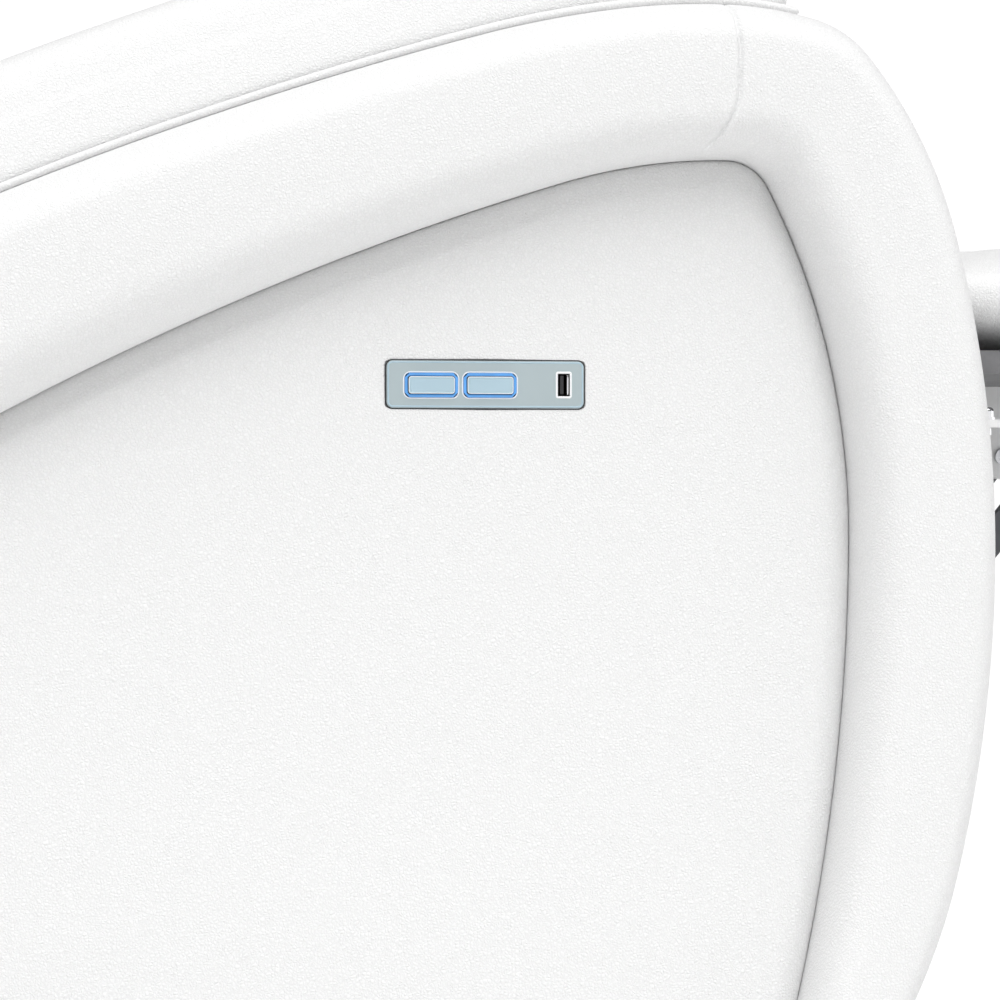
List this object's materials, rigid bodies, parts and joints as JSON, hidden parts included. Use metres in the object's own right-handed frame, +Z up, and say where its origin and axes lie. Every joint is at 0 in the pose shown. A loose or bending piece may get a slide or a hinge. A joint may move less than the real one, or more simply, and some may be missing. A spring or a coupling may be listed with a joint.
{
  "type": "pedicure spa chair",
  "caption": "Pedicure spa chair with padded slab arms, reclining back, sliding headrest, folding leg rest on diagonal struts and a foot basin drawer in the base.",
  "frame": {"origin": "on the floor, under the centre of the chair's bounding box as parked, with the back reclined and the leg rest raised", "axes": "+X towards the front (the sitter's feet), +Y to the sitter's left, +Z up"},
  "size_m": [1.4758, 0.864, 1.4132],
  "materials": {
    "black_plastic": "fine texture",
    "blue_ring": "translucent blue",
    "bright_steel": "satin",
    "button_plastic": "satin",
    "grey_board": "dark grey cloth-covered board",
    "plywood": "dark sealed board",
    "rubber": "matte",
    "silver_plate": "pale satin",
    "steel_paint": "grey powder coat",
    "white_leather": "fine-grained upholstery leather",
    "white_paint": "white powder coat",
    "white_plastic": "moulded",
    "zinc": "bright"
  },
  "bodies": {
    "base": {"actuator_hangers": "steel_paint", "arm_spacers": "bright_steel", "back_actuator": "black_plastic", "control_housing": "black_plastic", "control_plate": "silver_plate", "cross_members": "steel_paint", "equipment_deck": "steel_paint", "fixed_slides": "bright_steel", "guide_plates": "steel_paint", "hinge_brackets": "steel_paint", "left_arm_core": "plywood", "left_arm_field": "white_leather", "left_arm_inner_pad": "white_leather", "left_arm_piping": "white_leather", "left_arm_roll": "white_leather", "left_arm_top_pad": "white_leather", "leg_actuator": "black_plastic", "levelling_feet": "rubber", "light_rings": "blue_ring", "power_inlet": "black_plastic", "power_supply": "black_plastic", "rear_cover": "white_plastic", "right_arm_core": "plywood", "right_arm_field": "white_leather", "right_arm_inner_pad": "white_leather", "right_arm_piping": "white_leather", "right_arm_roll": "white_leather", "right_arm_top_pad": "white_leather", "seat_board": "plywood", "seat_cushion": "white_leather", "side_frames": "steel_paint", "side_skirts": "white_plastic", "usb_socket": "black_plastic"},
    "leg_rest": {"leg_board": "grey_board", "leg_cushion": "white_leather", "leg_rest_brackets": "white_paint", "leg_rest_pins": "bright_steel", "cap_nuts": "zinc"},
    "struts": {"right_strut": "steel_paint", "left_strut": "steel_paint", "cross_shaft": "bright_steel", "strut_bolt": "black_plastic"},
    "leg_rod": {"leg_actuator_rod": "bright_steel"},
    "backrest": {"back_frame": "steel_paint", "back_cross_tubes": "steel_paint", "back_pivot_shaft": "bright_steel", "back_board": "grey_board", "back_cushion": "white_leather", "back_shell": "white_plastic"},
    "back_rod": {"back_actuator_rod": "bright_steel"},
    "headrest": {"headrest_frame": "steel_paint", "headrest_pad": "white_leather"},
    "basin_drawer": {"foot_basin": "white_plastic", "basin_front": "white_plastic", "moving_slides": "bright_steel", "jet_nozzles": "bright_steel"},
    "plug": {"drain_plug": "rubber"},
    "back_button": {"back_button": "button_plastic"},
    "leg_rest_button": {"leg_rest_button": "button_plastic"},
    "switch": {"power_switch": "black_plastic"}
  },
  "joints": [
    {"name": "leg_rest_hinge", "type": "hinge", "parent": "base", "child": "leg_rest", "pos_m": [0.42386, 0, 0.54], "axis": [0, -1, 0], "range_deg": [-90, 0]},
    {"name": "strut_swing", "type": "hinge", "parent": "leg_rest", "child": "struts", "pos_m": [0.59196, 0, 0.52], "axis": [0, -1, 0], "range_deg": [0, 30.7]},
    {"name": "leg_rod_slide", "type": "slide", "parent": "base", "child": "leg_rod", "axis": [1, 0, 0], "range_m": [-0.2776, 0]},
    {"name": "back_hinge", "type": "hinge", "parent": "base", "child": "backrest", "pos_m": [-0.18314, 0, 0.56], "axis": [0, -1, 0], "range_deg": [-18, 35]},
    {"name": "back_rod_slide", "type": "slide", "parent": "base", "child": "back_rod", "axis": [1, 0, 0], "range_m": [-0.03376, 0.06555]},
    {"name": "headrest_slide", "type": "slide", "parent": "backrest", "child": "headrest", "axis": [-0.5736, 0, 0.8192], "range_m": [0, 0.08]},
    {"name": "basin_slide", "type": "slide", "parent": "base", "child": "basin_drawer", "axis": [1, 0, 0], "range_m": [0, 0.33]},
    {"name": "plug_lift", "type": "slide", "parent": "basin_drawer", "child": "plug", "axis": [0, 0, 1], "range_m": [0, 0.03]},
    {"name": "back_button_press", "type": "slide", "parent": "base", "child": "back_button", "axis": [0, 1, 0], "range_m": [0, 0.0015], "stiffness_N_per_m": 800},
    {"name": "leg_rest_button_press", "type": "slide", "parent": "base", "child": "leg_rest_button", "axis": [0, 1, 0], "range_m": [0, 0.0015], "stiffness_N_per_m": 800},
    {"name": "power_switch_rock", "type": "hinge", "parent": "base", "child": "switch", "pos_m": [-0.34914, -0.121, 0.15], "axis": [0, 1, 0], "range_deg": [-8, 8]}
  ],
  "couplings": [
    {"joint": "strut_swing", "follows": "leg_rest_hinge", "ratio": -0.34},
    {"joint": "leg_rod_slide", "follows": "leg_rest_hinge", "m_per_rad": 0.17665},
    {"joint": "back_rod_slide", "follows": "back_hinge", "m_per_rad": 0.10714}
  ]
}
